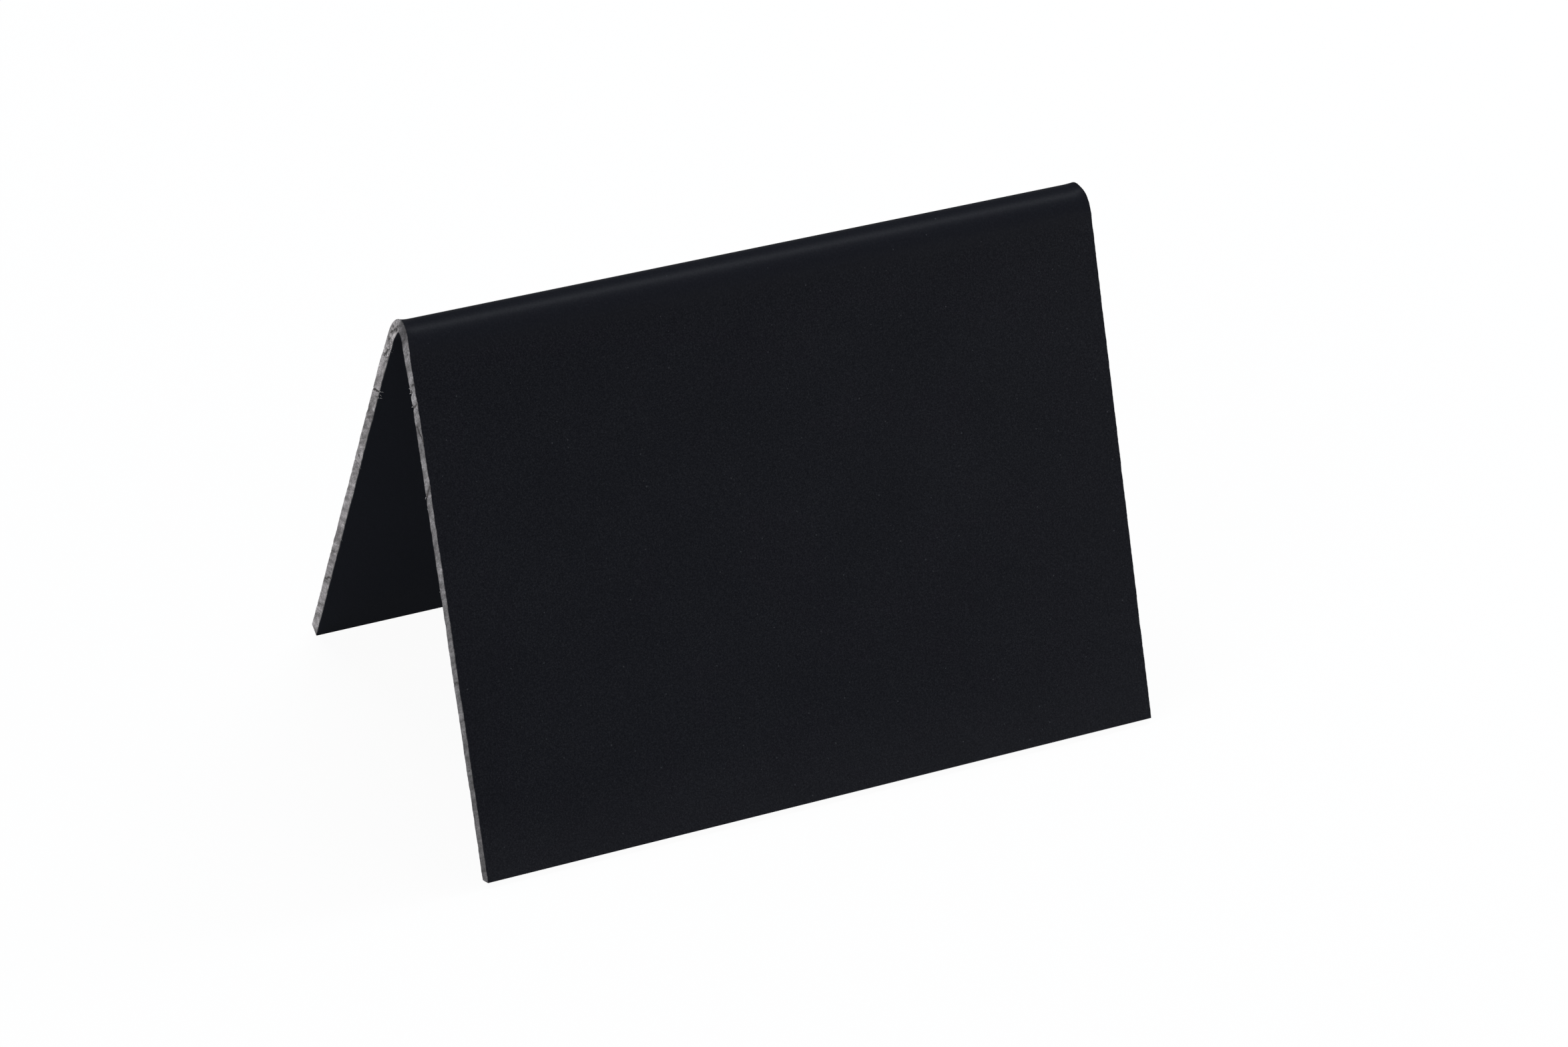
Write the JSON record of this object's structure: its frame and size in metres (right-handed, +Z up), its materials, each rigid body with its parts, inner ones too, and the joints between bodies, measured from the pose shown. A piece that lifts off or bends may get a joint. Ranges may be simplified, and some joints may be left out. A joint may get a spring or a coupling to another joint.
{
  "type": "table number sign",
  "caption": "Blank tent-shaped table sign: a folded near-black laminated sheet with a grey core that shows at its sawn ends.",
  "frame": {"origin": "on the table, under the middle of the fold: the centre of the footprint at the height of the two arrises it stands on", "axes": "+X along the fold, to the right as seen from the front; +Z up; the front face looks towards -Y and up"},
  "size_m": [0.1, 0.0644, 0.0692],
  "materials": {
    "core": "grey plastic core, sawn and unpolished at the ends and feet",
    "outer_skin": "near-black with a blue cast, fine matt grain",
    "inner_skin": "near-black with a blue cast, fine matt grain"
  },
  "bodies": {
    "root": {"core_sheet": "core", "outer_skin": "outer_skin", "inner_skin": "inner_skin"}
  },
  "joints": []
}
